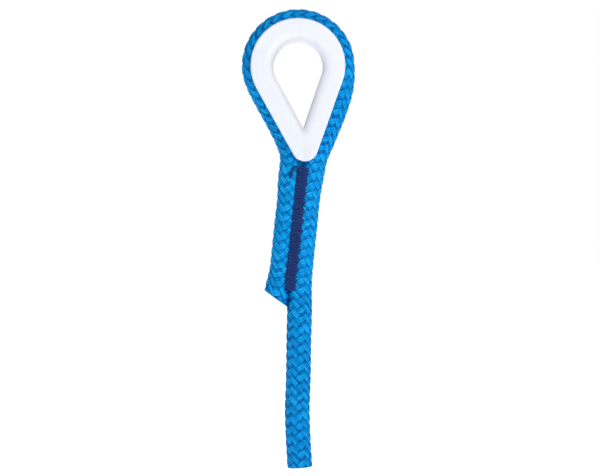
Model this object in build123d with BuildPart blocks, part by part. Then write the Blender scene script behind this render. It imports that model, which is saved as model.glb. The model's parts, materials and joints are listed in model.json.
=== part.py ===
from build123d import *
import os
from math import cos, radians, sin, tan

os.makedirs("parts", exist_ok=True)

# Sewn eye end of a plaited dock line, hanging upright from its thimble.
# Frame: origin at the centre of the thimble's round eye, +X right, +Y away from the viewer, +Z up.
# All lengths are in mm and all angles in degrees.

# Rope
ROPE_RADIUS = 6.0
COVER_INNER_RADIUS = 4.1
CORE_RADIUS = 4.0

# Half the clearance left between two pieces that bear on each other
CONTACT_GAP = 0.05
# Clearance cuts reach this far from their joint, which is past the outside of the rope
RELIEF_REACH = 10.0
# Two places nearer than this are the same place
TOUCH = 0.01

# Thimble, in its own leaning axes
THIMBLE_LEAN = 4.8
HOLE_RADIUS = 12.1
HOLE_TIP_RADIUS = 0.2
HOLE_TIP_DEPTH = 30.0
FLANGE_RADIUS = 22.8
FLANGE_TOE_RADIUS = 6.3
FLANGE_TOE_DEPTH = 40.1
THIMBLE_THICKNESS = 16.6
HOLE_EDGE_FILLET = 4.5
RIM_FILLET = 0.9
GROOVE_RADIUS = 6.25

# Rope path round the thimble
CROWN_CENTRE = (0.5, 0.0)
CROWN_RADIUS = 21.45
LEFT_LEG_LEAN = 28.0
LEFT_LEG_LENGTH = 24.5
LEFT_THROAT = (-4.0, -47.5)
RIGHT_THROAT = (8.2, -47.5)
RIGHT_LEG = [(21.5, -8.8), (19.0, -17.8), (15.2, -27.8), (10.45, -39.4)]

# Throat joint: the eye nods about an X line between the last of the thimble and the first stitch
THROAT_HEIGHT = -47.5
THROAT_SWING = 15.0
THROAT_MARGIN = 0.5
THROAT_RELIEF_WIDTH = 80.0

# Sewn neck: the two ropes lie either side of a leaning seam plane
SEAM_MID = (-1.26, -79.3)
SEAM_LEAN = 5.9
SEAM_TOP = -49.6
SEAM_BOTTOM = -108.2
# Height of each path point and its distance from the seam plane
TAIL_PATH = [(-54.0, 5.3), (-62.0, 4.65), (-85.0, 4.65), (-104.0, 4.95), (-122.0, 7.25)]
TAIL_END_HEADING = (-0.2, -1.0)
NECK_PATH = [(-54.0, 5.3), (-62.0, 4.65), (-85.0, 4.65), (-104.0, 4.85)]
TAIL_CUT_OUTER = (-15.8, -108.5)
TAIL_CUT_INNER = (-5.0, -116.0)

# Stitches
STITCH_PITCH = 1.2
STITCH_HALF_WIDTH = 2.9
THREAD_RADIUS = 0.35
STITCH_DEPTH = 5.4
STITCH_TOP = 6.0
LOOSE_THREAD_PATH = [
    (0.2, 5.7, -49.3),
    (-1.0, 6.6, -48.7),
    (-2.5, 6.8, -49.2),
    (-3.2, 6.75, -52.4),
    (-4.2, 6.2, -54.6),
    (-4.5, 5.2, -55.4),
]

# Standing part: a straight stretch, then short links that hinge in turn sideways and fore and aft
NECK_END = -120.5
FIRST_BEND = -130.5
BEND_JOINTS = 8
LINK_LENGTH = 7.2
ROPE_END = -194.0
JOINT_SWING = 22.0
JOINT_MARGIN = 1.5
# How far right the centre line lies at the twist joint, at each bend joint and at the rope's end
STANDING_SWAY = [0.75, 0.5, 0.4, 0.3, 0.15, -0.1, -0.28, -0.15, 0.15, 0.95]


def beside_seam(height, spacing):
    """Point at this height, this far to the right of the seam plane."""
    return (SEAM_MID[0] + tan(radians(SEAM_LEAN)) * (height - SEAM_MID[1]) + spacing, height)


def rope_cover_and_core(path):
    """Hollow cover and solid core swept along a path, as two separate parts."""
    section = Plane(origin=path @ 0, z_dir=path % 0)
    with BuildPart() as cover:
        with BuildSketch(section):
            Circle(ROPE_RADIUS)
            Circle(COVER_INNER_RADIUS, mode=Mode.SUBTRACT)
        sweep(path=path)
    with BuildPart() as core:
        with BuildSketch(section):
            Circle(CORE_RADIUS)
        sweep(path=path)
    return cover.part, core.part


def save(part, label):
    """Label a finished piece and write it as its own STEP file."""
    part.label = label
    export_step(part, f"parts/{label}.step")


# Rope path: up the left leg, over the crown and down the right leg
left_turn = 180 + LEFT_LEG_LEAN
left_tangent = (sin(radians(LEFT_LEG_LEAN)), -cos(radians(LEFT_LEG_LEAN)))
left_shoulder = (
    CROWN_CENTRE[0] + CROWN_RADIUS * cos(radians(left_turn)),
    CROWN_CENTRE[1] + CROWN_RADIUS * sin(radians(left_turn)),
)
left_knee = (
    left_shoulder[0] + LEFT_LEG_LENGTH * left_tangent[0],
    left_shoulder[1] + LEFT_LEG_LENGTH * left_tangent[1],
)
right_shoulder = (CROWN_CENTRE[0] + CROWN_RADIUS, CROWN_CENTRE[1])
with BuildLine(Plane.XZ) as eye_path:
    Spline(
        LEFT_THROAT,
        left_knee,
        tangents=[(0, 1), (-left_tangent[0], -left_tangent[1])],
    )
    Line(left_knee, left_shoulder)
    CenterArc(CROWN_CENTRE, CROWN_RADIUS, left_turn, -left_turn)
    Spline(right_shoulder, *RIGHT_LEG, RIGHT_THROAT, tangents=[(0, -1), (0, -1)])

# Throat relief: all that lies below the eye's two sloping end faces, and its mirror image above
# the neck's, so that front and back halves of the joint each open by half the swing
relief_tip = THROAT_HEIGHT + CONTACT_GAP
relief_rise = RELIEF_REACH * tan(radians(THROAT_SWING / 2 + THROAT_MARGIN))
with BuildPart() as below_throat:
    with BuildSketch(Plane.YZ.offset(-THROAT_RELIEF_WIDTH / 2)):
        with BuildLine():
            Polyline(
                (0, relief_tip),
                (RELIEF_REACH, relief_tip + relief_rise),
                (RELIEF_REACH, THROAT_HEIGHT - RELIEF_REACH),
                (-RELIEF_REACH, THROAT_HEIGHT - RELIEF_REACH),
                (-RELIEF_REACH, relief_tip + relief_rise),
                close=True,
            )
        make_face()
    extrude(amount=THROAT_RELIEF_WIDTH)
above_throat = mirror(below_throat.part, about=Plane.XY.offset(THROAT_HEIGHT), mode=Mode.PRIVATE)

# Eye: cover and core round the thimble
cover_sweep, core_sweep = rope_cover_and_core(eye_path.line)
with BuildPart() as eye_cover:
    add(cover_sweep)
    add(below_throat.part, mode=Mode.SUBTRACT)
save(eye_cover.part, "eye_cover")
with BuildPart() as eye_core:
    add(core_sweep)
    add(below_throat.part, mode=Mode.SUBTRACT)
save(eye_core.part, "eye_core")

# Thimble: a leaning teardrop plate with a rounded eye and a rope groove round its edge
thimble_plane = Plane(
    origin=(0, 0, 0),
    x_dir=(cos(radians(THIMBLE_LEAN)), 0, sin(radians(THIMBLE_LEAN))),
    z_dir=(0, -1, 0),
)
with BuildPart() as thimble:
    with BuildSketch(thimble_plane):
        Circle(FLANGE_RADIUS)
        with Locations((0, -FLANGE_TOE_DEPTH)):
            Circle(FLANGE_TOE_RADIUS)
        make_hull()
    extrude(amount=THIMBLE_THICKNESS / 2, both=True)
    rims = edges().filter_by(
        lambda edge: abs(abs(edge.center().Y) - THIMBLE_THICKNESS / 2) < TOUCH
    )
    fillet(rims, RIM_FILLET)
    with BuildSketch(thimble_plane):
        Circle(HOLE_RADIUS)
        with Locations((0, HOLE_TIP_RADIUS - HOLE_TIP_DEPTH)):
            Circle(HOLE_TIP_RADIUS)
        make_hull()
    extrude(amount=THIMBLE_THICKNESS, both=True, mode=Mode.SUBTRACT)
    hole_wall = faces().filter_by(GeomType.CYLINDER).sort_by(
        lambda face: abs(face.radius - HOLE_RADIUS)
    )[0]
    hole_rims = hole_wall.edges().filter_by(GeomType.CIRCLE)
    fillet(hole_rims, HOLE_EDGE_FILLET)
    for stretch in eye_path.line.edges():
        with BuildSketch(Plane(origin=stretch @ 0, z_dir=stretch % 0)):
            Circle(GROOVE_RADIUS)
        sweep(path=stretch, mode=Mode.SUBTRACT)
save(thimble.part, "thimble")

# Seam plane: its normal points right, towards the standing part
seam_plane = Plane(
    origin=(SEAM_MID[0], 0, SEAM_MID[1]),
    z_dir=(cos(radians(SEAM_LEAN)), 0, -sin(radians(SEAM_LEAN))),
)

# Tail: doubled back on the left of the seam, cut at a slant
with BuildLine(Plane.XZ) as tail_path:
    Spline(
        LEFT_THROAT,
        *[beside_seam(height, -spacing) for height, spacing in TAIL_PATH],
        tangents=[(0, -1), TAIL_END_HEADING],
    )
cut_slope = (TAIL_CUT_OUTER[0] - TAIL_CUT_INNER[0], TAIL_CUT_OUTER[1] - TAIL_CUT_INNER[1])
tail_cut = Plane(
    origin=(TAIL_CUT_INNER[0], 0, TAIL_CUT_INNER[1]),
    z_dir=(-cut_slope[1], 0, cut_slope[0]),
)
cover_sweep, core_sweep = rope_cover_and_core(tail_path.line)
for label, blank in (("tail_cover", cover_sweep), ("tail_core", core_sweep)):
    with BuildPart() as tail:
        add(blank)
        add(above_throat, mode=Mode.SUBTRACT)
        split(bisect_by=seam_plane.offset(-CONTACT_GAP), keep=Keep.BOTTOM)
        split(bisect_by=tail_cut, keep=Keep.BOTTOM)
    save(tail.part, label)

# Standing part: joint points down its gently swaying centre line
bend_heights = [FIRST_BEND - LINK_LENGTH * step for step in range(BEND_JOINTS)]
joint_heights = [NECK_END, *bend_heights, ROPE_END]
joint_points = list(zip(STANDING_SWAY, joint_heights))
cone_slope = tan(radians(JOINT_SWING / 2 + JOINT_MARGIN))


def along(start, end):
    """Length and unit direction from one path point to the next."""
    run, rise = end[0] - start[0], end[1] - start[1]
    length = (run**2 + rise**2) ** 0.5
    return length, (run / length, 0, rise / length)


def rope_plane(point, direction):
    """Plane at a path point whose X is front to back and whose Y runs along the rope."""
    return Plane(
        origin=(point[0], 0, point[1]),
        x_dir=(0, 1, 0),
        z_dir=(direction[2], 0, -direction[0]),
    )


# Neck: the standing part beside the seam, ending in a shallow cone at the twist joint
with BuildLine(Plane.XZ) as neck_path:
    Spline(
        RIGHT_THROAT,
        *[beside_seam(height, spacing) for height, spacing in NECK_PATH],
        joint_points[0],
        tangents=[(0, -1), (0, -1)],
    )
neck_plane = rope_plane(joint_points[0], (0, 0, -1))
with BuildPart() as past_neck:
    with BuildSketch(neck_plane):
        with BuildLine():
            Polyline(
                (0, -CONTACT_GAP),
                (RELIEF_REACH, -CONTACT_GAP - RELIEF_REACH * cone_slope),
                (RELIEF_REACH, RELIEF_REACH),
                (0, RELIEF_REACH),
                close=True,
            )
        make_face()
    revolve(axis=Axis(neck_plane.origin, neck_plane.y_dir))
cover_sweep, core_sweep = rope_cover_and_core(neck_path.line)
for label, blank in (("neck_cover", cover_sweep), ("neck_core", core_sweep)):
    with BuildPart() as neck:
        add(blank)
        add(above_throat, mode=Mode.SUBTRACT)
        add(past_neck.part, mode=Mode.SUBTRACT)
        split(bisect_by=seam_plane.offset(CONTACT_GAP), keep=Keep.TOP)
    save(neck.part, label)

# Standing links: barrels with shallow cone ends that meet tip to tip at the joints
last_link = len(joint_points) - 1
for number in range(1, last_link + 1):
    start, end = joint_points[number - 1], joint_points[number]
    length, direction = along(start, end)
    link_plane = rope_plane(start, direction)
    end_slope = 0 if number == last_link else cone_slope
    end_gap = 0 if number == last_link else CONTACT_GAP
    rings = (
        ("standing_cover", COVER_INNER_RADIUS, ROPE_RADIUS),
        ("standing_core", 0, CORE_RADIUS),
    )
    for name, inner, outer in rings:
        with BuildPart() as link:
            with BuildSketch(link_plane):
                with BuildLine():
                    Polyline(
                        (inner, CONTACT_GAP + inner * cone_slope),
                        (outer, CONTACT_GAP + outer * cone_slope),
                        (outer, length - end_gap - outer * end_slope),
                        (inner, length - end_gap - inner * end_slope),
                        close=True,
                    )
                make_face()
            revolve(axis=Axis(link_plane.origin, link_plane.y_dir))
        save(link.part, f"{name}_{number:02d}")

# Stitches: one staple of thread per stitch, needle thread in front and bobbin thread behind
stitch_count = int((SEAM_TOP - SEAM_BOTTOM) / STITCH_PITCH) + 1
lean_cos, lean_sin = cos(radians(SEAM_LEAN)), sin(radians(SEAM_LEAN))
for label, facing in (("needle_thread", -1), ("bobbin_thread", 1)):
    with BuildPart() as thread:
        for number in range(stitch_count):
            seam_x, height = beside_seam(SEAM_TOP - number * STITCH_PITCH, 0)
            stitch_plane = Plane(
                origin=(seam_x, 0, height),
                x_dir=(lean_cos, 0, -lean_sin),
                z_dir=(facing * lean_sin, 0, facing * lean_cos),
            )
            with BuildLine(stitch_plane) as staple:
                FilletPolyline(
                    (-STITCH_HALF_WIDTH, STITCH_TOP - STITCH_DEPTH),
                    (-STITCH_HALF_WIDTH, STITCH_TOP),
                    (STITCH_HALF_WIDTH, STITCH_TOP),
                    (STITCH_HALF_WIDTH, STITCH_TOP - STITCH_DEPTH),
                    radius=2 * THREAD_RADIUS,
                )
            with BuildSketch(Plane(origin=staple.line @ 0, z_dir=staple.line % 0)):
                Circle(THREAD_RADIUS)
            sweep(path=staple.line)
    save(thread.part, label)

# Loose thread: a stray loop that lies over the tail beside the top of the seam
with BuildPart() as loose_thread:
    with BuildLine() as loop:
        Spline(*[(x, -front, height) for x, front, height in LOOSE_THREAD_PATH])
    with BuildSketch(Plane(origin=loop.line @ 0, z_dir=loop.line % 0)):
        Circle(THREAD_RADIUS)
    sweep(path=loop.line)
save(loose_thread.part, "loose_thread")
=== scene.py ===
import json
import math

import bpy
import numpy as np
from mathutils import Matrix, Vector


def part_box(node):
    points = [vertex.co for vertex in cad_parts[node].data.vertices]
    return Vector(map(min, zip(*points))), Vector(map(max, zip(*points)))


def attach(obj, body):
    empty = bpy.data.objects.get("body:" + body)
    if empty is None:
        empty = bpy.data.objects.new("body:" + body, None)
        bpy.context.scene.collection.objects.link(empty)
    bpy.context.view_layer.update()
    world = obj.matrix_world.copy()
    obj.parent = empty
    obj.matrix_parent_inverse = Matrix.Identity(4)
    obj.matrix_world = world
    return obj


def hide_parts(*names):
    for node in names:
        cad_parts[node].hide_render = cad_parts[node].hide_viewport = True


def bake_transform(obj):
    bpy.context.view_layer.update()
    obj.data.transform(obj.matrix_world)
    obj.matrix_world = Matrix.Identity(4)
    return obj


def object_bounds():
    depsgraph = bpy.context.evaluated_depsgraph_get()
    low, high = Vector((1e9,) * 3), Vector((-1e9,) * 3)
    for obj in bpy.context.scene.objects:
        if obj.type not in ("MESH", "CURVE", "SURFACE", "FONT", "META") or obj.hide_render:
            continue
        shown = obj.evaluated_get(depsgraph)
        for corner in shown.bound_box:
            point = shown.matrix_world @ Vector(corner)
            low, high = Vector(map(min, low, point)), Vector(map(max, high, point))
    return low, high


# Looks for the sewn eye end of a plaited dock line. Lengths are in millimetres until a mesh is made,
# when MM turns them into metres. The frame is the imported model's: origin at the centre of the eye,
# +X right, +Y away from the viewer, +Z up.
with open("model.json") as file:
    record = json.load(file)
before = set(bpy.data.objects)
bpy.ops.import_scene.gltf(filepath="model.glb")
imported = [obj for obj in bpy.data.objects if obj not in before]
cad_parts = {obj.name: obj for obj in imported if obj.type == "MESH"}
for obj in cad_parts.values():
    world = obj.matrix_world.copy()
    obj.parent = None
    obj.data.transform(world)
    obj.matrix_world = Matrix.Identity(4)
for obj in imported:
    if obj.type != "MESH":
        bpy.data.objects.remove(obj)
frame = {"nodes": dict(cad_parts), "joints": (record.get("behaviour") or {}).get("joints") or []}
cad_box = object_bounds()
joints = {joint["name"]: joint for joint in frame["joints"]}
rng = np.random.default_rng(12)

MM = 0.001
TURN = 2 * math.pi

# Rope cover: a plait of flat strands. Right-turning strands run over two and under one, so their
# long floats stand in upright columns with the short floats of the left-turning ones between.
# Floats are placed and measured by the number of strands crossed.
STRANDS_EACH_WAY = 9
YARNS_PER_STRAND = 3
PATTERN_LENGTH = 3
LONG_FLOAT = {"middle": 0.5, "half_length": 1.0}
SHORT_FLOAT = {"middle": 2.0, "half_length": 0.62}
BRAID_LEAD = 42.0
BRAID_RADIUS = 5.32
BRAID_TURN = math.radians(-29)
BRAID_ROW_SHIFT = 3.3
WEAVE_HEIGHT = 0.41
WEAVE_EDGE = 0.13
STRAND_SPREAD = math.radians(25)
# The outer yarns of a strand lie lower than its middle one, and each strand tilts like a shingle
STRAND_CROWN = 0.13
STRAND_TILT = 0.15
YARN_HALF_WIDTH = 0.58
YARN_HALF_THICKNESS = 0.41
YARN_SIDES = 8
# The worked plait lies unevenly: the short floats spread and lie flatter, most where it is sewn
SPREAD = 0.22
SEWN_SPREAD = 0.3
SLIDE = 0.40
SEWN_SLIDE = 0.5
END_LENGTH = 4.0
CORE_RADIUS = 3.8
CORE_SIDES = 28
# Painted shadow in the crease where the two ropes part below the stitching
CREASE_HALF_WIDTH = 0.95
CREASE_SHADE = 0.6
# Where it is sewn, the plait is packed tight, and its painted shade is lifted there: painted light
SEWN_PAINTED_LIGHT = 0.09
RING_STEP = 0.4

# How deep in the weave the core reads for its material, which paints it in shade, and its tint among
# the yarns
CORE_PAINTED_SHADE_DEPTH = -1.5
CORE_TINT = 0.5

# Thimble, in metres: half its thickness, how deep its rounded bearing surface is, and the fold
# below the tip of its hole, where its two legs meet, painted as shade with a short slope on its
# left and a long one on its right
THIMBLE_LEAN = math.radians(4.8)
THIMBLE_FACE = 0.0083
BEARING_DEPTH = 0.0035
FOLD_TOP = 0.031
FOLD_FULL = 0.034
FOLD_LEFT = 0.002
FOLD_RIGHT = 0.0045
# How much painted shade darkens the bearing surface and the fold against the flat faces
BEARING_PAINTED_SHADE = 0.4
FOLD_PAINTED_SHADE = 0.17

# Rope path, as (x, z) points: up the left leg, round the crown, down the right leg
LEFT_LEG = [(-3.35, -50.0), (-2.9, -44.3), (-4.6, -36.8), (-7.7, -30.0), (-13.0, -20.2)]
LEFT_LEG_LEAN = 28.0
CROWN_CENTRE = (0.15, 0.55)
CROWN_RADIUS = 21.3
CROWN_POINTS = 12
RIGHT_LEG = [
    (21.2, -8.8),
    (18.95, -17.8),
    (15.2, -27.8),
    (12.9, -33.4),
    (10.45, -39.4),
    (8.5, -44.6),
    (7.4, -50.0),
]

# Standing part: where its stretches start, how much further the first one reaches than half way
# to the next joint, the points below the tail, and how far right of the last link's middle the
# rope ends
NECK_FOOT = -112.0
TWIST_EXTRA = 1.4
BELOW_TAIL = [(0.95, -108.5), (0.85, -114.0)]
ROPE_END_LEAN = 0.35

# How closely the path is worked out, and how far each way its direction is measured
PATH_SAMPLES = 6000
TANGENT_STEP = 0.3

# Sewn seam
SEAM_MID = (-1.26, -79.3)
SEAM_LEAN = math.radians(5.9)

# Sewn ropes, as (height, distance from the seam) going down
NECK_SPACING = [(-56, 5.1), (-63, 4.65), (-74, 4.65), (-85, 4.65), (-96, 4.65), (-103, 4.8)]
TAIL_SPACING = [*NECK_SPACING, (-108.5, 5.15), (-113, 5.4)]

# Tail: its cut is sheared over a length of rope, and it flares a little towards the cut
TAIL_CUT_ANGLE = math.radians(26)
TAIL_SHEAR_LENGTH = 22
TAIL_FLARE = 0.14
TAIL_FLARE_LENGTH = 16

# Where the ropes press on each other: the rounding at the seam plane, and how far they sink in
PRESS_ROUNDING = 0.3
PRESS_OVERLAP = 0.25

# Heights over which something sets in at its foot and fades out at its top, going up
SEWN_SPAN = {"foot": (-114, -104), "top": (-52, -42)}
PRESS_SPAN = {"foot": (-116, -109), "top": (-44, -38)}
CREASE_SPAN = {"foot": (-119, -116), "top": (-62, -52)}


def joint_point(name):
    """A joint's place in the plane of the object, as (x, z) in millimetres."""
    x, _, z = joints[name]["pos_m"]
    return x / MM, z / MM


def beside_seam(height, spacing):
    """Point at this height, this far to the right of the seam."""
    return SEAM_MID[0] + math.tan(SEAM_LEAN) * (height - SEAM_MID[1]) + spacing, height


# ---------------------------------------------------------------- rope path

bend_names = [f"{kind}_bend_{k}" for k in range(1, 5) for kind in ("side", "fore")]
joint_chain = ["rope_twist", *bend_names]
standing_points = [joint_point(name) for name in joint_chain]
rope_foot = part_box("standing_cover_09")
rope_end_height = rope_foot[0].z / MM
rope_end_x = (rope_foot[0].x + rope_foot[1].x) / 2 / MM + ROPE_END_LEAN
left_turn = 180 + LEFT_LEG_LEAN
crown_points = [
    (
        CROWN_CENTRE[0] + CROWN_RADIUS * math.cos(math.radians(angle)),
        CROWN_CENTRE[1] + CROWN_RADIUS * math.sin(math.radians(angle)),
    )
    for angle in np.linspace(left_turn, 0, CROWN_POINTS)
]
sewn_tail = [beside_seam(height, -spacing) for height, spacing in reversed(TAIL_SPACING)]
sewn_neck = [beside_seam(height, spacing) for height, spacing in NECK_SPACING]
path_points = np.array(
    [
        *sewn_tail,
        *LEFT_LEG,
        *crown_points,
        *RIGHT_LEG,
        *sewn_neck,
        *BELOW_TAIL,
        *standing_points,
        (rope_end_x, rope_end_height),
    ]
)


def natural_spline(points, samples):
    """Points along a natural cubic spline through the given points, spaced by chord length."""
    knots = np.concatenate([[0], np.cumsum(np.linalg.norm(np.diff(points, axis=0), axis=1))])
    gaps = np.diff(knots)
    slopes = np.diff(points, axis=0) / gaps[:, None]
    count = len(points)
    system = np.eye(count)
    right = np.zeros_like(points)
    for k in range(1, count - 1):
        system[k, k - 1 : k + 2] = gaps[k - 1], 2 * (gaps[k - 1] + gaps[k]), gaps[k]
        right[k] = 6 * (slopes[k] - slopes[k - 1])
    bend = np.linalg.solve(system, right)
    t = np.linspace(0, knots[-1], samples)
    k = np.clip(np.searchsorted(knots, t, side="right") - 1, 0, count - 2)
    h = gaps[k][:, None]
    a = (knots[k + 1] - t)[:, None]
    b = (t - knots[k])[:, None]
    return (
        (bend[k] * a**3 + bend[k + 1] * b**3) / (6 * h)
        + (points[k] / h - bend[k] * h / 6) * a
        + (points[k + 1] / h - bend[k + 1] * h / 6) * b
    )


class RopePath:
    """The rope's centre line, looked up by distance from the tail's cut end."""

    def __init__(self, points):
        dense = natural_spline(points, PATH_SAMPLES)
        self.distance = np.concatenate(
            [[0], np.cumsum(np.linalg.norm(np.diff(dense, axis=0), axis=1))]
        )
        self.points = dense
        self.length = self.distance[-1]

    def centre(self, s):
        return np.stack([np.interp(s, self.distance, self.points[:, i]) for i in (0, 1)], -1)

    def tangent(self, s):
        ahead = self.centre(np.minimum(s + TANGENT_STEP, self.length))
        run = ahead - self.centre(np.maximum(s - TANGENT_STEP, 0))
        return run / np.linalg.norm(run, axis=-1, keepdims=True)

    def distance_at_height(self, height):
        """Distance of the point at this height on the standing side."""
        half = len(self.points) // 2
        heights = self.points[half:, 1]
        return np.interp(-height, -heights, self.distance[half:])


path = RopePath(path_points)
standing_side_start = path.length / 2


def smoothstep(low, high, value):
    """0 up to low, 1 from high on, and a smooth rise between."""
    t = np.clip((value - low) / (high - low), 0, 1)
    return t * t * (3 - 2 * t)


def within(span, height):
    """1 inside a span of heights, 0 outside it."""
    return smoothstep(*span["foot"], height) * (1 - smoothstep(*span["top"], height))


def in_sewn_part(s):
    """1 where the rope is sewn to itself, 0 elsewhere."""
    return within(SEWN_SPAN, path.centre(s)[..., 1])


def seam_offset(x, height):
    """Distance of a point to the right of the seam plane."""
    return x - beside_seam(height, 0)[0]


def rope_point(s, theta, radius):
    """Place of a point of the rope: s along it, theta round it (0 in front, 90 degrees on the
    outer side), radius out from its centre line. The two sewn ropes press flat on each other."""
    s = np.clip(s, 0, path.length)
    centre = path.centre(s)
    tangent = path.tangent(s)
    outward = np.stack([-tangent[..., 1], tangent[..., 0]], -1)
    side = radius * np.sin(theta)
    depth = -radius * np.cos(theta)
    # The tail is cut on a slant: its last stretch is sheared along the rope
    shear = math.tan(TAIL_CUT_ANGLE) * (1 - smoothstep(1, TAIL_SHEAR_LENGTH, s))
    side = side * (1 + TAIL_FLARE * (1 - smoothstep(0, TAIL_FLARE_LENGTH, s)))
    flat = centre + outward * side[..., None] + tangent * (shear * side)[..., None]
    # Press against the seam plane
    standing = np.where(s > standing_side_start, 1.0, -1.0)
    away = standing * seam_offset(flat[..., 0], flat[..., 1])
    pressed = 0.5 * (away + np.sqrt(away**2 + PRESS_ROUNDING**2)) - PRESS_OVERLAP
    flat[..., 0] += standing * (pressed - away) * within(PRESS_SPAN, flat[..., 1])
    return np.stack([flat[..., 0], depth, flat[..., 1]], -1)


# ---------------------------------------------------------------- meshes


class TubeMesh:
    """Closed tubes gathered into one mesh. A tube is a dict of rings (n, sides, 3) in mm, with
    along (n,), depth (n, sides) and tint for the material."""

    def __init__(self):
        self.points, self.depth, self.tint = [], [], []
        self.corners, self.sizes, self.uvs, self.smooth = [], [], [], []
        self.point_count = 0

    def add_points(self, points, depth, tint):
        """Add points, and return the number of the first one."""
        first = self.point_count
        self.points.append(points.reshape(-1, 3) * MM)
        self.depth.append(depth.reshape(-1))
        self.tint.append(np.full(depth.size, tint))
        self.point_count += depth.size
        return first

    def add_faces(self, corners, uvs, smooth):
        """Add faces from their corners (faces, corners of each) and uvs (the same, 2)."""
        self.corners.append(corners.reshape(-1))
        self.sizes.append(np.full(len(corners), corners.shape[1]))
        self.uvs.append(uvs.reshape(-1, 2))
        self.smooth.append(np.full(len(corners), smooth))

    def add_wall(self, tube):
        """The faces between each ring and the next."""
        count, sides = tube["depth"].shape
        first = self.add_points(tube["rings"], tube["depth"], tube["tint"])
        ring, side = np.meshgrid(np.arange(count - 1), np.arange(sides), indexing="ij")
        near, far = first + ring * sides, first + (ring + 1) * sides
        following = (side + 1) % sides
        corners = np.stack([near + side, near + following, far + following, far + side], -1)
        along = tube["along"]
        u = np.stack([along[ring], along[ring], along[ring + 1], along[ring + 1]], -1)
        v = np.stack([side, side + 1, side + 1, side], -1) / sides
        self.add_faces(corners.reshape(-1, 4), np.stack([u, v], -1), True)

    def add_cap(self, tube, ring, order):
        """One end face, with its own corner points, so that the wall shades evenly up to it."""
        sides = tube["depth"].shape[1]
        first = self.add_points(tube["rings"][ring], tube["depth"][ring], tube["tint"])
        corners = (first + np.arange(sides))[::order]
        uvs = np.stack([np.full(sides, tube["along"][ring]), np.arange(sides) / sides], -1)
        self.add_faces(corners[None], uvs[None], False)

    def build(self, name, material):
        """Make the mesh and put it in the scene as an object of this name."""
        sizes = np.concatenate(self.sizes)
        mesh = bpy.data.meshes.new(name)
        mesh.vertices.add(self.point_count)
        mesh.vertices.foreach_set("co", np.concatenate(self.points).astype(np.float32).ravel())
        mesh.loops.add(int(sizes.sum()))
        mesh.loops.foreach_set("vertex_index", np.concatenate(self.corners).astype(np.int32))
        mesh.polygons.add(len(sizes))
        mesh.polygons.foreach_set("loop_start", (np.cumsum(sizes) - sizes).astype(np.int32))
        mesh.polygons.foreach_set("loop_total", sizes.astype(np.int32))
        mesh.polygons.foreach_set("use_smooth", np.concatenate(self.smooth))
        mesh.update(calc_edges=True)
        mesh.validate()
        layer = mesh.uv_layers.new(name="fibre")
        layer.data.foreach_set("uv", np.concatenate(self.uvs).astype(np.float32).ravel())
        # The fibre materials turn the depth attribute into painted shade
        for label, values in (("depth", self.depth), ("tint", self.tint)):
            attribute = mesh.attributes.new(label, "FLOAT", "POINT")
            attribute.data.foreach_set("value", np.concatenate(values).astype(np.float32))
        mesh.materials.append(material)
        obj = bpy.data.objects.new(name, mesh)
        bpy.context.scene.collection.objects.link(obj)
        return obj


def tube_object(name, tubes, material):
    """One object made of closed tubes."""
    gathered = TubeMesh()
    for tube in tubes:
        gathered.add_wall(tube)
        gathered.add_cap(tube, 0, -1)
        gathered.add_cap(tube, -1, 1)
    return gathered.build(name, material)


def weave(crossing, float_shape):
    """Height of a strand among the strands it crosses, counted by number: near +1 along its float,
    and near -1 where it dives underneath."""
    half = PATTERN_LENGTH / 2
    from_middle = np.abs((crossing - float_shape["middle"] + half) % PATTERN_LENGTH - half)
    return np.tanh((float_shape["half_length"] - from_middle) / WEAVE_EDGE)


def settle(s, turned):
    """Slide points of the even plait along and round the rope to where they lie in the worked one."""
    column = PATTERN_LENGTH * TURN / (2 * STRANDS_EACH_WAY)
    from_short = turned / column - SHORT_FLOAT["middle"] / PATTERN_LENGTH
    wave = np.sin(TURN * from_short)
    sewn = in_sewn_part(s)
    # The cut ends stay level
    level = smoothstep(0, END_LENGTH, s) * (1 - smoothstep(path.length - END_LENGTH, path.length, s))
    slide = (SLIDE + (SEWN_SLIDE - SLIDE) * sewn) * level
    spread = (SPREAD + (SEWN_SPREAD - SPREAD) * sewn) * column / TURN
    return s + slide * wave, turned + spread * wave + BRAID_TURN


def crease(points):
    """1 in the crease where the two ropes part below the stitching, where light doesn't reach."""
    height = points[..., 2]
    beside = seam_offset(points[..., 0], height) / CREASE_HALF_WIDTH
    return np.exp(-(beside**2)) * within(CREASE_SPAN, height)


def yarn_tube(start, end, direction, strand, yarn, tint):
    """One yarn of one strand of the plait. Direction +1 strands turn one way, -1 the other."""
    count = max(2, int(round((end - start) / RING_STEP)) + 1)
    s = np.linspace(start, end, count)[:, None]
    around = np.arange(YARN_SIDES)[None, :] / YARN_SIDES * TURN - TURN / 4
    lead = TURN * (s - BRAID_ROW_SHIFT) / BRAID_LEAD
    place = 2 * yarn / (YARNS_PER_STRAND - 1) - 1
    middle = strand * TURN / STRANDS_EACH_WAY + direction * lead + place * STRAND_SPREAD / 2
    slant = math.cos(math.atan(TURN * BRAID_RADIUS / BRAID_LEAD))
    turned = middle + YARN_HALF_WIDTH / (slant * BRAID_RADIUS) * np.cos(around)
    crossing = (turned + direction * lead) * STRANDS_EACH_WAY / TURN + strand
    rise = weave(crossing, LONG_FLOAT if direction > 0 else SHORT_FLOAT)
    radius = (
        BRAID_RADIUS
        + WEAVE_HEIGHT * rise
        - STRAND_CROWN * place**2
        - STRAND_TILT * place
        + YARN_HALF_THICKNESS * np.sin(around)
    )
    rings = rope_point(*settle(s, turned), radius)
    return {
        "rings": rings,
        "along": s[:, 0],
        # Deeper yarns get painted shade from this, the crease painted shadow, and the sewn part
        # painted light
        "depth": radius - BRAID_RADIUS + SEWN_PAINTED_LIGHT * in_sewn_part(s) - CREASE_SHADE * crease(rings),
        "tint": tint,
    }


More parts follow.
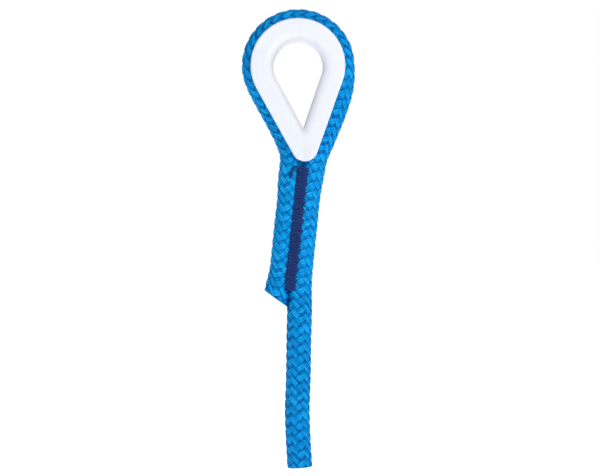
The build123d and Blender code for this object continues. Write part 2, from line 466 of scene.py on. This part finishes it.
def core_tube(start, end):
    """The fibre core inside the plait."""
    count = max(2, int(round((end - start) / (2 * RING_STEP))) + 1)
    theta = np.arange(CORE_SIDES) / CORE_SIDES * TURN
    s, theta = np.meshgrid(np.linspace(start, end, count), theta, indexing="ij")
    return {
        "rings": rope_point(s, theta, np.full_like(theta, CORE_RADIUS)),
        "along": s[:, 0],
        "depth": np.full(theta.shape, CORE_PAINTED_SHADE_DEPTH),
        "tint": CORE_TINT,
    }


# ---------------------------------------------------------------- materials


class Nodes:
    """Short forms for building a procedural material."""

    def __init__(self, name):
        self.material = bpy.data.materials.new(name)
        self.material.use_nodes = True
        self.tree = self.material.node_tree
        self.shader = self.tree.nodes["Principled BSDF"]

    def add(self, kind, **settings):
        node = self.tree.nodes.new(kind)
        for key, value in settings.items():
            setattr(node, key, value)
        return node

    def link(self, source, target):
        self.tree.links.new(source, target)

    def math(self, operation, a, b=None, c=None):
        node = self.add("ShaderNodeMath", operation=operation)
        for socket, value in zip(node.inputs, (a, b, c)):
            if value is None:
                continue
            if isinstance(value, (int, float)):
                socket.default_value = value
            else:
                self.link(value, socket)
        return node.outputs[0]

    def fade(self, value, low, high):
        """0 at low, 1 at high, straight between and level beyond."""
        node = self.add("ShaderNodeMapRange")
        node.inputs["From Min"].default_value = low
        node.inputs["From Max"].default_value = high
        self.link(value, node.inputs["Value"])
        return node.outputs[0]

    def ramp(self, factor, stops):
        node = self.add("ShaderNodeValToRGB")
        elements = node.color_ramp.elements
        while len(elements) < len(stops):
            elements.new(0.5)
        for element, (position, colour) in zip(elements, stops):
            element.position = position
            element.color = (*colour, 1)
        self.link(factor, node.inputs[0])
        return node.outputs[0]

    def noise(self, vector, scale, detail=3.0):
        node = self.add("ShaderNodeTexNoise")
        node.inputs["Scale"].default_value = scale
        node.inputs["Detail"].default_value = detail
        self.link(vector, node.inputs["Vector"])
        return node.outputs["Fac"]

    def vector(self, x, y, z=0.0):
        node = self.add("ShaderNodeCombineXYZ")
        for socket, value in zip(node.inputs, (x, y, z)):
            if isinstance(value, (int, float)):
                socket.default_value = value
            else:
                self.link(value, socket)
        return node.outputs[0]

    def bump(self, height, strength, distance):
        node = self.add("ShaderNodeBump")
        node.inputs["Strength"].default_value = strength
        node.inputs["Distance"].default_value = distance
        self.link(height, node.inputs["Height"])
        self.link(node.outputs[0], self.shader.inputs["Normal"])


FIBRE_SHADE_START = -0.55


def fibre_material(name, dark, mid, light, roughness, twist, streaks):
    """Twisted filament yarn: fine fibre lines that wind round each yarn, with painted shade down in
    the weave.
    Twist is the turns of the fibres to a millimetre, streaks how fine they are."""
    n = Nodes(name)
    uv = n.add("ShaderNodeUVMap", uv_map="fibre")
    split = n.add("ShaderNodeSeparateXYZ")
    n.link(uv.outputs[0], split.inputs[0])
    along, around = split.outputs[0], split.outputs[1]
    tint = n.add("ShaderNodeAttribute", attribute_name="tint").outputs["Fac"]
    depth = n.add("ShaderNodeAttribute", attribute_name="depth").outputs["Fac"]
    wound = n.math("ADD", around, n.math("MULTIPLY", along, twist))
    angle = n.math("MULTIPLY", wound, TURN)
    place = n.vector(n.math("COSINE", angle), n.math("SINE", angle), n.math("MULTIPLY", along, 0.12))
    # Each yarn reads its own part of the noise
    offset = n.vector(n.math("MULTIPLY", tint, 37.0), 0.0, n.math("MULTIPLY", tint, 11.0))
    seeded = n.add("ShaderNodeVectorMath", operation="ADD")
    n.link(place, seeded.inputs[0])
    n.link(offset, seeded.inputs[1])
    fibres = n.noise(seeded.outputs[0], streaks, 4.0)
    along_yarn = n.vector(n.math("MULTIPLY", along, 0.35), n.math("MULTIPLY", tint, 20.0))
    wide = n.noise(along_yarn, 1.0, 2.0)
    # Single fibres, slow changes along the yarn, the yarn's own tint, and painted shade from its
    # depth in the weave
    shade = FIBRE_SHADE_START
    for value, weight in ((fibres, 0.5), (wide, 0.25), (tint, 0.22), (depth, 0.66)):
        shade = n.math("MULTIPLY_ADD", value, weight, shade)
    n.link(n.ramp(shade, [(0.0, dark), (0.45, mid), (0.9, light)]), n.shader.inputs["Base Color"])
    n.shader.inputs["Roughness"].default_value = roughness
    n.shader.inputs["Specular IOR Level"].default_value = 0.06
    n.bump(fibres, 0.55, 0.00018)
    return n.material


def thimble_material():
    """White moulded nylon: satin, with a faint flow mottle, very fine surface grain, and painted
    shade on its bearing surface and along its fold.
    """
    n = Nodes("thimble_plastic")
    place = n.add("ShaderNodeTexCoord").outputs["Object"]
    mottle = n.noise(place, 60.0, 3.0)
    grain = n.noise(place, 1400.0, 2.0)
    split = n.add("ShaderNodeSeparateXYZ")
    n.link(place, split.inputs[0])
    x, y, z = split.outputs
    # Painted shade on the bearing surface inside the eye, darker than the flat faces
    inside = n.fade(n.math("ABSOLUTE", y), THIMBLE_FACE, THIMBLE_FACE - BEARING_DEPTH)
    # Painted shade of a shallow fold from the tip of the hole down to the toe
    lean_sin, lean_cos = math.sin(THIMBLE_LEAN), math.cos(THIMBLE_LEAN)
    across = n.math("MULTIPLY_ADD", x, lean_cos, n.math("MULTIPLY", z, lean_sin))
    down = n.math("MULTIPLY_ADD", x, lean_sin, n.math("MULTIPLY", z, -lean_cos))
    beside = n.math("ADD", n.fade(across, 0.0, FOLD_RIGHT), n.fade(across, 0.0, -FOLD_LEFT))
    fold = n.math("MULTIPLY", n.math("SUBTRACT", 1.0, beside), n.fade(down, FOLD_TOP, FOLD_FULL))
    shade = n.math("SUBTRACT", mottle, n.math("MULTIPLY", inside, BEARING_PAINTED_SHADE))
    shade = n.math("SUBTRACT", shade, n.math("MULTIPLY", fold, FOLD_PAINTED_SHADE))
    stops = [(0.0, (0.66, 0.668, 0.705)), (0.4, (0.74, 0.767, 0.84)), (0.7, (0.76, 0.785, 0.85))]
    n.link(n.ramp(shade, stops), n.shader.inputs["Base Color"])
    n.link(n.math("MULTIPLY_ADD", grain, 0.12, 0.32), n.shader.inputs["Roughness"])
    n.shader.inputs["Subsurface Weight"].default_value = 0.15
    n.shader.inputs["Subsurface Radius"].default_value = (0.003, 0.003, 0.003)
    n.shader.inputs["Specular IOR Level"].default_value = 0.35
    n.bump(grain, 0.06, 0.0002)
    return n.material


cover_fibre = fibre_material(
    "rope_cover",
    dark=(0.0, 0.045, 0.22),
    mid=(0.001, 0.29, 0.72),
    light=(0.02, 0.51, 0.93),
    roughness=0.6,
    twist=0.22,
    streaks=5.0,
)
# The core is blue, and its blue is painted darker: painted shade, as it shows only deep in the gaps
# of the plait
core_fibre_in_painted_shade = fibre_material(
    "rope_core",
    dark=(0.0, 0.03, 0.16),
    mid=(0.002, 0.08, 0.33),
    light=(0.01, 0.14, 0.5),
    roughness=0.6,
    twist=0.05,
    streaks=9.0,
)
thread_fibre = fibre_material(
    "sewing_thread",
    dark=(0.016, 0.042, 0.17),
    mid=(0.048, 0.15, 0.54),
    light=(0.078, 0.235, 0.76),
    roughness=0.5,
    twist=0.9,
    streaks=3.0,
)

# ---------------------------------------------------------------- rope pieces


def strand_name(direction, strand):
    return f"cover_strand_{'right' if direction > 0 else 'left'}_{strand + 1}"


families = [(direction, strand) for direction in (1, -1) for strand in range(STRANDS_EACH_WAY)]
yarn_tints = {
    (direction, strand, yarn): rng.uniform(0, 1)
    for direction, strand in families
    for yarn in range(YARNS_PER_STRAND)
}


def strand_tubes(start, end, direction, strand):
    return [
        yarn_tube(start, end, direction, strand, yarn, yarn_tints[direction, strand, yarn])
        for yarn in range(YARNS_PER_STRAND)
    ]


twist_top = path.distance_at_height(NECK_FOOT)
eye_covers = ["eye_cover", "tail_cover", "neck_cover"]
eye_cores = ["eye_core", "tail_core", "neck_core"]
for direction, strand in families:
    piece = tube_object(
        strand_name(direction, strand), strand_tubes(0, twist_top, direction, strand), cover_fibre
    )
    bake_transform(piece)
    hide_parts(*eye_covers)
core_piece = tube_object("eye_fibre_core", [core_tube(0, twist_top)], core_fibre_in_painted_shade)
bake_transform(core_piece)
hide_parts(*eye_cores)

# The standing part is split half way between joints, into one stretch for each joint
joint_heights = [joint_point(name)[1] for name in joint_chain]
split_heights = [(high + low) / 2 for high, low in zip(joint_heights, joint_heights[1:])]
split_heights[0] -= TWIST_EXTRA
splits = [twist_top, *(path.distance_at_height(height) for height in split_heights), path.length]
for index, joint_name in enumerate(joint_chain):
    start, end = splits[index], splits[index + 1]
    tubes = [t for direction, strand in families for t in strand_tubes(start, end, direction, strand)]
    for label, material, parts in (
        ("cover", cover_fibre, tubes),
        ("core", core_fibre_in_painted_shade, [core_tube(start, end)]),
    ):
        piece = tube_object(f"standing_{label}_stretch_{index + 1}", parts, material)
        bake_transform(piece)
        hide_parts(f"standing_{label}_{index + 1:02d}")

# ---------------------------------------------------------------- sewing

THREAD_RADIUS = 0.27
THREAD_SIDES = 9
SEAM_TOP = -49.4
SEAM_BOTTOM = -108.4
# The band of stitches is wider low down, is drawn in over its last rows, and wanders to the right
# of the seam, more so going up
STITCH_HALF_WIDTH = 3.05
LOW_WIDENING = 0.2
LOW_WIDENING_HEIGHTS = (-100, -85)
LAST_ROWS_LENGTH = 2.4
LAST_ROWS_NARROWING = 0.4
SEAM_DRIFT = 0.3
DRIFT_RISES = [(0.3, (-105, -85)), (0.2, (-68, -49))]
# The stitches pull in at every row of the plait, and dive into the rope at their ends
STITCH_NOTCH = 0.36
STITCH_CROWN = 0.12
STITCH_PLUNGE = 1.5
PLUNGE_START = 0.8
STITCH_POINTS = 13
# How unevenly they are laid
END_SCATTER = 0.16
SLANT_SCATTER = 0.06
ROW_SCATTER = 0.05
# A thread's plies stand out of its round by this share of its radius
PLIES = 3
PLY_RIDGE = 0.10
PLY_TURNS = 0.55
# Painted shade in the grooves between plies, as a gain on how far they sink
PLY_PAINTED_SHADE = 3
# Two layers of zigzag: a dense one laid down first and an open one over it
STITCH_LAYERS = [
    {"pitch": 0.52, "slant": 0.08, "height": 5.75, "reach": 1.0},
    {"pitch": 0.80, "slant": 0.34, "height": 6.05, "reach": 0.95},
]


def thread_tube(points, reference, radius, tint):
    """A thread of twisted plies along a line of points."""
    tangent = np.gradient(points, axis=0)
    tangent /= np.linalg.norm(tangent, axis=1, keepdims=True)
    across = np.cross(tangent, reference)
    across /= np.linalg.norm(across, axis=1, keepdims=True)
    up = np.cross(across, tangent)
    along = np.concatenate([[0], np.cumsum(np.linalg.norm(np.diff(points, axis=0), axis=1))])
    around = np.arange(THREAD_SIDES) / THREAD_SIDES * TURN
    ridge = np.cos(PLIES * around[None, :] - TURN * PLY_TURNS * along[:, None])
    size = radius * (1 + PLY_RIDGE * ridge)
    rings = (
        points[:, None, :]
        + (size * np.cos(around))[..., None] * across[:, None, :]
        + (size * np.sin(around))[..., None] * up[:, None, :]
    )
    return {"rings": rings, "along": along, "depth": (size - radius) * PLY_PAINTED_SHADE, "tint": tint}


def stitch_reach(height):
    """Half the width of the stitching at this height."""
    wide = STITCH_HALF_WIDTH + LOW_WIDENING * (1 - smoothstep(*LOW_WIDENING_HEIGHTS, height))
    last_rows = 1 - smoothstep(SEAM_BOTTOM, SEAM_BOTTOM + LAST_ROWS_LENGTH, height)
    return wide * (1 - LAST_ROWS_NARROWING * last_rows)


def seam_drift(height):
    """How far the stitching lies to the right of the seam at this height."""
    return SEAM_DRIFT + sum(rise * smoothstep(*heights, height) for rise, heights in DRIFT_RISES)


def stitch(height, slant, layer, facing):
    """One thread across the seam at this height."""
    seam_cos, seam_sin = math.cos(SEAM_LEAN), math.sin(SEAM_LEAN)
    notch = STITCH_NOTCH * math.cos(TURN * height / (BRAID_LEAD / STRANDS_EACH_WAY))
    reach = stitch_reach(height) * layer["reach"]
    left = -reach + rng.normal(0, END_SCATTER) + notch
    right = reach + rng.normal(0, END_SCATTER) + notch
    slant += rng.normal(0, SLANT_SCATTER)
    t = np.linspace(-1, 1, STITCH_POINTS)
    x = left + (right - left) * (t + 1) / 2
    z = height + slant * t + rng.normal(0, ROW_SCATTER)
    plunge = STITCH_PLUNGE * smoothstep(PLUNGE_START, 1.0, np.abs(t))
    y = layer["height"] + rng.normal(0, ROW_SCATTER) + STITCH_CROWN * (1 - t**2) - plunge
    seam_x = beside_seam(z, seam_drift(z))[0]
    points = np.stack([seam_x + x * seam_cos, facing * y, z - x * seam_sin], -1)
    return thread_tube(points, (seam_sin, 0.0, seam_cos), THREAD_RADIUS, rng.uniform(0, 1))


def stitching(facing):
    """Dense zigzag of thread down the seam. Facing is -1 for the front, +1 for the back."""
    tubes = []
    for layer in STITCH_LAYERS:
        count = int((SEAM_TOP - SEAM_BOTTOM) / layer["pitch"])
        for k, height in enumerate(np.linspace(SEAM_TOP, SEAM_BOTTOM, count + 1)):
            slant = layer["slant"] if k % 2 else -layer["slant"]
            tubes.append(stitch(height, slant, layer, facing))
    return tubes


for label, facing in (("needle_thread", -1), ("bobbin_thread", 1)):
    piece = tube_object(f"{label}_stitches", stitching(facing), thread_fibre)
    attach(piece, "neck")
    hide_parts(label)

# The loose loop leaves the top of the stitching, turns over to the left and dives back in. It is
# thicker and darker than the stitches.
LOOP_RADIUS = 0.55
LOOP_TINT = -0.6
LOOP_SAMPLES = 60
LOOP_POINTS = [
    (1.6, -6.2, -49.4),
    (0.4, -6.6, -49.3),
    (-1.2, -6.8, -49.1),
    (-2.5, -6.8, -49.5),
    (-2.95, -6.75, -50.9),
    (-3.15, -6.7, -52.4),
    (-3.5, -6.3, -53.8),
    (-3.9, -5.2, -54.6),
]
loop_line = natural_spline(np.array(LOOP_POINTS), LOOP_SAMPLES)
loop_tube = thread_tube(loop_line, (0.1, 1.0, 0.05), LOOP_RADIUS, LOOP_TINT)
piece = tube_object("loose_thread_loop", [loop_tube], thread_fibre)
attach(piece, "neck")
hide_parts("loose_thread")

# ---------------------------------------------------------------- thimble

thimble = frame["nodes"]["thimble"]
thimble.data.materials.clear()
thimble.data.materials.append(thimble_material())

# ---------------------------------------------------------------- stage, light and camera

# In metres and watts
FLOOR_RADIUS = 4.0
FLOOR_DROP = 0.003
FLOOR_CORNERS = 96
SKY_LIGHT = 0.27
MIDDLE = (0, 0, -0.085)
EYE_LEVEL = -0.0832
CAMERA_DISTANCE = 0.81
CAMERA_SHIFT = 0.001


def floor():
    """Large pale disc just under the rope's end."""
    rim = [(math.cos(a), math.sin(a)) for a in np.linspace(0, TURN, FLOOR_CORNERS, endpoint=False)]
    mesh = bpy.data.meshes.new("floor")
    level = cad_box[0][2] - FLOOR_DROP
    corners = [(x * FLOOR_RADIUS, y * FLOOR_RADIUS, level) for x, y in rim]
    mesh.from_pydata(corners, [], [range(len(corners))])
    n = Nodes("pale_floor")
    n.shader.inputs["Base Color"].default_value = (0.95, 0.95, 0.95, 1)
    n.shader.inputs["Roughness"].default_value = 0.9
    n.shader.inputs["Emission Color"].default_value = (1, 1, 1, 1)
    n.shader.inputs["Emission Strength"].default_value = 0.85
    mesh.materials.append(n.material)
    obj = bpy.data.objects.new("floor", mesh)
    bpy.context.scene.collection.objects.link(obj)


floor()

# The sky is white to the camera and dimmer as a light
world = bpy.data.worlds.new("studio")
bpy.context.scene.world = world
world.use_nodes = True
tree = world.node_tree
background = tree.nodes["Background"]
background.inputs["Color"].default_value = (1, 1, 1, 1)
light_path = tree.nodes.new("ShaderNodeLightPath")
strength = tree.nodes.new("ShaderNodeMapRange")
strength.inputs["To Min"].default_value = SKY_LIGHT
strength.inputs["To Max"].default_value = 1.0
tree.links.new(light_path.outputs["Is Camera Ray"], strength.inputs["Value"])
tree.links.new(strength.outputs[0], background.inputs["Strength"])


def area_light(name, place, target, size, watts):
    """Square soft light aimed at a point."""
    data = bpy.data.lights.new(name, "AREA")
    data.energy = watts
    data.size = size
    obj = bpy.data.objects.new(name, data)
    obj.location = place
    direction = Vector(target) - Vector(place)
    obj.rotation_euler = direction.to_track_quat("-Z", "Y").to_euler()
    bpy.context.scene.collection.objects.link(obj)


area_light("key", (0.38, -0.58, 0.54), MIDDLE, size=0.2, watts=4.1)
area_light("fill", (-0.6, -0.5, 0.1), MIDDLE, size=0.6, watts=0.5)
area_light("back", (0.1, 0.8, 0.5), MIDDLE, size=0.6, watts=2.0)

camera_data = bpy.data.cameras.new("camera")
camera_data.lens = 100
camera_data.sensor_width = 36
camera_data.clip_start = 0.01
camera = bpy.data.objects.new("camera", camera_data)
camera.location = (CAMERA_SHIFT, -CAMERA_DISTANCE, EYE_LEVEL)
camera.rotation_euler = (math.pi / 2, 0, 0)
bpy.context.scene.collection.objects.link(camera)
bpy.context.scene.camera = camera
bpy.context.scene.view_settings.view_transform = "Standard"
